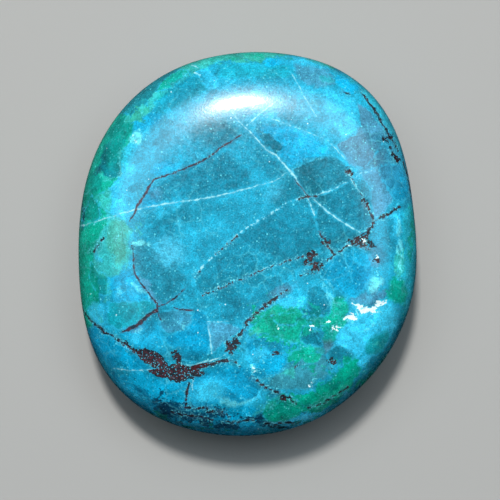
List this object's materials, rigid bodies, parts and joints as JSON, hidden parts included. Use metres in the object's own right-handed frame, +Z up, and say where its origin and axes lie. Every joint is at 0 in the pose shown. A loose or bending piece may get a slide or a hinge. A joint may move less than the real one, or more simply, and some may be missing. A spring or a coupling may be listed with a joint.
{
  "type": "polished chrysocolla palm stone",
  "caption": "Polished chrysocolla palm stone: a thick rounded slab of blue-green mineral with veins, held in the hand or laid flat for display.",
  "frame": {"origin": "on the resting face, under the middle of the outline's box", "axes": "+Z up, out of the crown; +Y along the stone's length; +X across its width"},
  "size_m": [0.0546, 0.062, 0.017],
  "materials": {
    "polished_chrysocolla": "polished"
  },
  "bodies": {
    "root": {"chrysocolla_stone": "polished_chrysocolla"}
  },
  "joints": []
}
